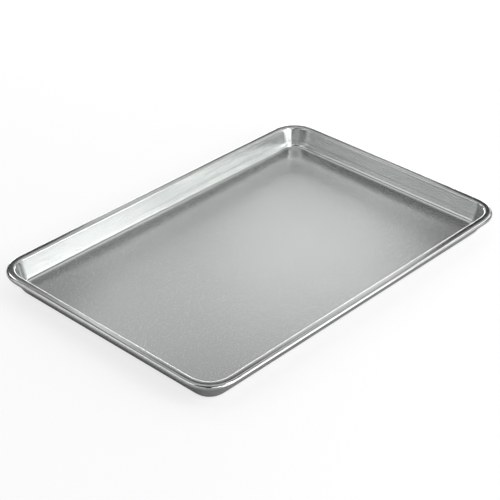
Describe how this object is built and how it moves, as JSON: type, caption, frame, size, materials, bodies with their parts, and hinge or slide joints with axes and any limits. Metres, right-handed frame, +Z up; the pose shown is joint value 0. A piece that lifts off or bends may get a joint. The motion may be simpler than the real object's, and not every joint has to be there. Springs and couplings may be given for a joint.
{
  "type": "jelly roll pan",
  "caption": "Shallow rectangular baking tray with a flat floor, leaning walls, rounded corners and a rim rolled round a steel wire.",
  "frame": {"origin": "centre of the flat base, in the plane that the pan rests on", "axes": "+X along the long side, +Y along the short side, +Z up out of the open top"},
  "size_m": [0.4, 0.2664, 0.021],
  "materials": {
    "aluminium": "natural mill finish, matte fine-grained floor, faintly brushed walls, bright rolled rim",
    "steel_wire": "drawn and galvanised, dull"
  },
  "bodies": {
    "root": {"pan_shell": "aluminium", "rim_wire": "steel_wire"}
  },
  "joints": []
}
